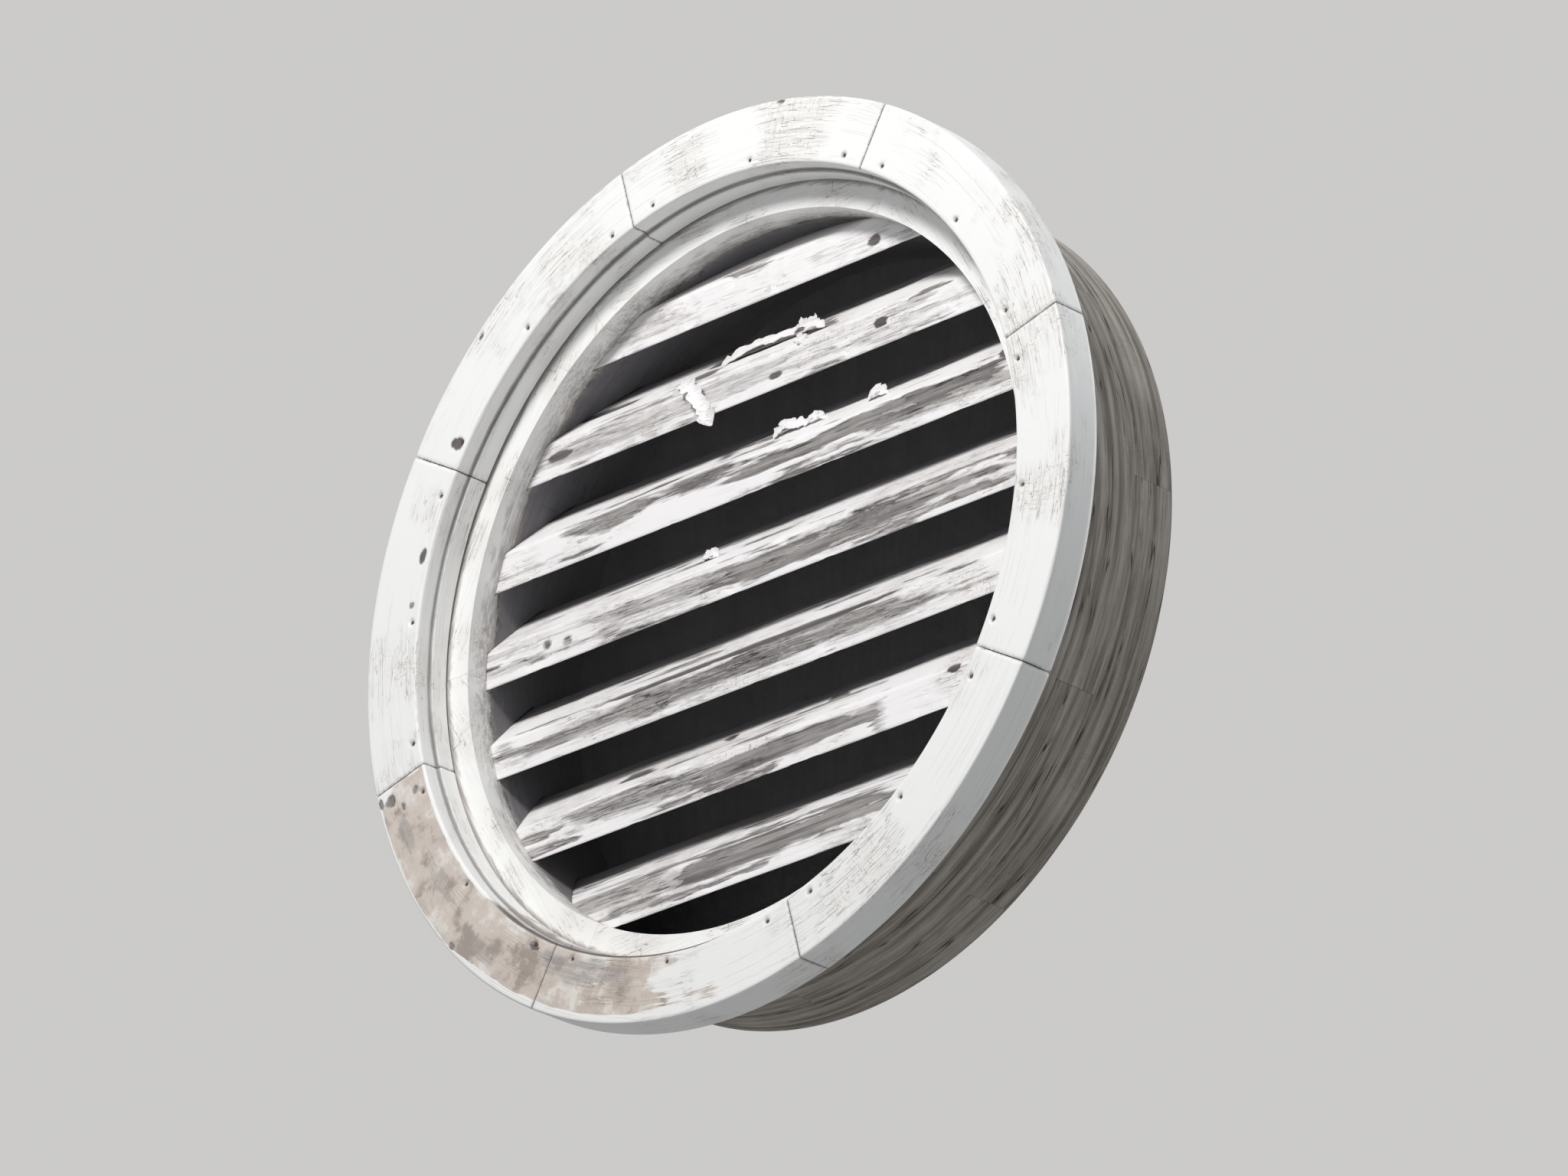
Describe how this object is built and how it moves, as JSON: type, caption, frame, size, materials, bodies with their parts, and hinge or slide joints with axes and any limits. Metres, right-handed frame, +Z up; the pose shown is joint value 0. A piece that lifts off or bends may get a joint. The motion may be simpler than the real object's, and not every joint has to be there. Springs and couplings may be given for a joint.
{
  "type": "round louvred vent window",
  "caption": "Round timber vent window with fixed sloping slats in a built-up ring, a flat segmented casing on its front and an insect screen behind.",
  "frame": {"origin": "on the ring's axis, at the front edge of the ring, where the casing's back face lies", "axes": "+Y along the ring's axis into the wall, +X to the right seen from outside, +Z up"},
  "size_m": [0.68, 0.155, 0.68],
  "materials": {
    "casing_paint": "weathered white paint",
    "slat_paint": "peeling white paint",
    "ring_wood": "bare wood, front edge painted",
    "stop_wood": "bare wood",
    "dark_mesh": "matt woven mesh",
    "nail_steel": "dull, rusting"
  },
  "bodies": {
    "root": {"casing_1": "casing_paint", "casing_2": "casing_paint", "casing_3": "casing_paint", "casing_4": "casing_paint", "casing_5": "casing_paint", "casing_6": "casing_paint", "casing_7": "casing_paint", "casing_8": "casing_paint", "casing_nails": "nail_steel", "insect_screen": "dark_mesh", "ring_back_1": "ring_wood", "ring_back_2": "ring_wood", "ring_back_3": "ring_wood", "ring_back_4": "ring_wood", "ring_back_5": "ring_wood", "ring_back_6": "ring_wood", "ring_front_1": "ring_wood", "ring_front_2": "ring_wood", "ring_front_3": "ring_wood", "ring_front_4": "ring_wood", "ring_front_5": "ring_wood", "ring_front_6": "ring_wood", "ring_middle_1": "ring_wood", "ring_middle_2": "ring_wood", "ring_middle_3": "ring_wood", "ring_middle_4": "ring_wood", "ring_middle_5": "ring_wood", "ring_middle_6": "ring_wood", "screen_stop_1": "stop_wood", "screen_stop_2": "stop_wood", "screen_stop_3": "stop_wood", "screen_stop_4": "stop_wood", "screen_stop_5": "stop_wood", "screen_stop_6": "stop_wood", "slat_1": "slat_paint", "slat_2": "slat_paint", "slat_3": "slat_paint", "slat_4": "slat_paint", "slat_5": "slat_paint", "slat_6": "slat_paint", "slat_7": "slat_paint", "slat_8": "slat_paint", "stop_nails": "nail_steel"}
  },
  "joints": []
}
